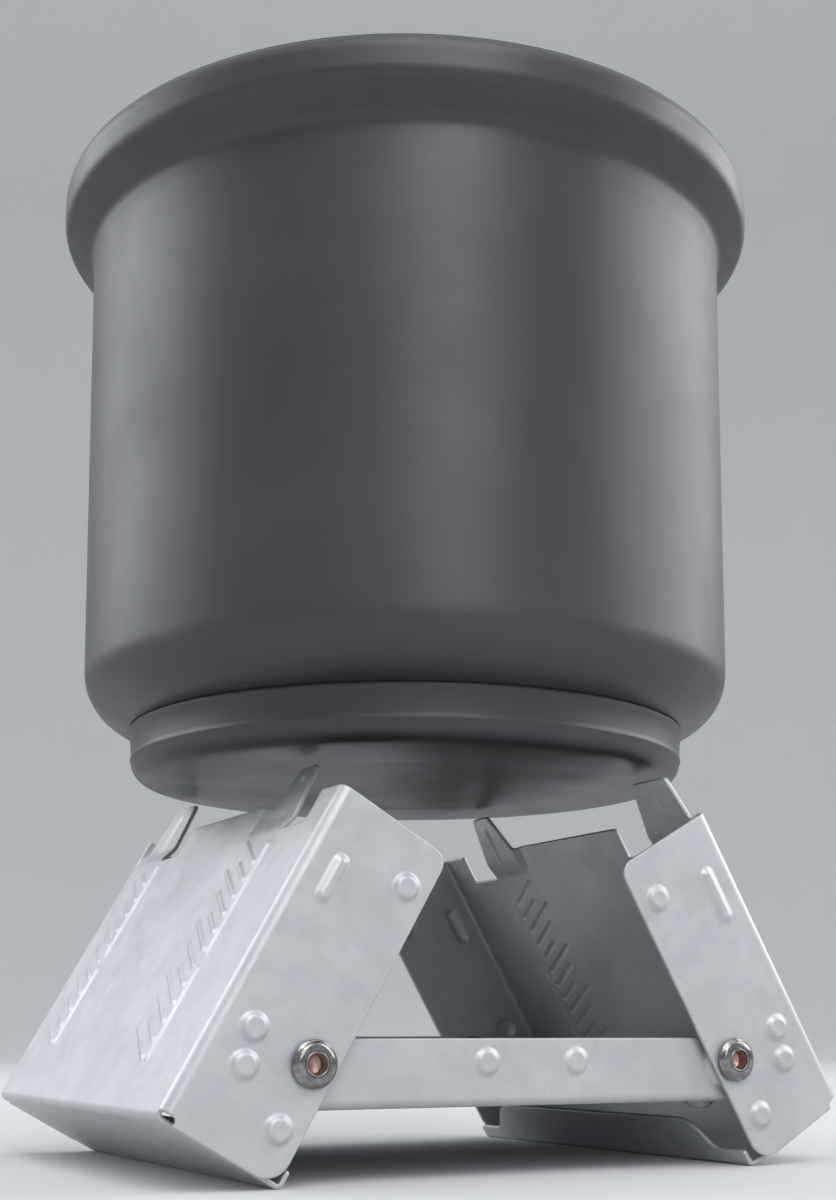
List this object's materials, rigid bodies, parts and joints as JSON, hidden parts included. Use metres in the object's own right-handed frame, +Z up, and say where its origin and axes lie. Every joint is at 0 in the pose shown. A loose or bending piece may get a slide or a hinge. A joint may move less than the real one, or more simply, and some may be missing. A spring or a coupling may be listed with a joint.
{
  "type": "folding solid-fuel tablet stove with pot",
  "caption": "Folding sheet-steel pocket stove for solid-fuel tablets, with hinged wings on a shallow tray and a dark spun aluminium pot standing on their prongs.",
  "frame": {"origin": "on the ground, under the middle of the tray", "axes": "+X along the tray from the left wing to the right wing, +Y towards the rear along the hinge lines, +Z up"},
  "size_m": [0.1096, 0.1096, 0.1502],
  "materials": {
    "galvanised_steel": "satin galvanised sheet",
    "rivet_nickel": "bright nickel plate",
    "fuel": "pressed white fuel",
    "anodised_aluminium": "satin hard-anodised dark grey"
  },
  "bodies": {
    "base": {"base_tray": "galvanised_steel", "front_left_rivet": "rivet_nickel", "front_right_rivet": "rivet_nickel", "rear_left_rivet": "rivet_nickel", "rear_right_rivet": "rivet_nickel", "fuel_tablet_1": "fuel", "fuel_tablet_2": "fuel", "fuel_tablet_3": "fuel"},
    "left_wing": {"left_wing": "galvanised_steel"},
    "right_wing": {"right_wing": "galvanised_steel"},
    "pot": {"pot": "anodised_aluminium"}
  },
  "joints": [
    {"name": "left_wing_hinge", "type": "hinge", "parent": "base", "child": "left_wing", "pos_m": [-0.03335, 0, 0.01531], "axis": [0, 1, 0], "range_deg": [-30, 60]},
    {"name": "right_wing_hinge", "type": "hinge", "parent": "base", "child": "right_wing", "pos_m": [0.03335, 0, 0.01531], "axis": [0, -1, 0], "range_deg": [-30, 60]},
    {"name": "pot_lift", "type": "slide", "parent": "base", "child": "pot", "axis": [0, 0, 1], "range_m": [0, 0.1]}
  ]
}
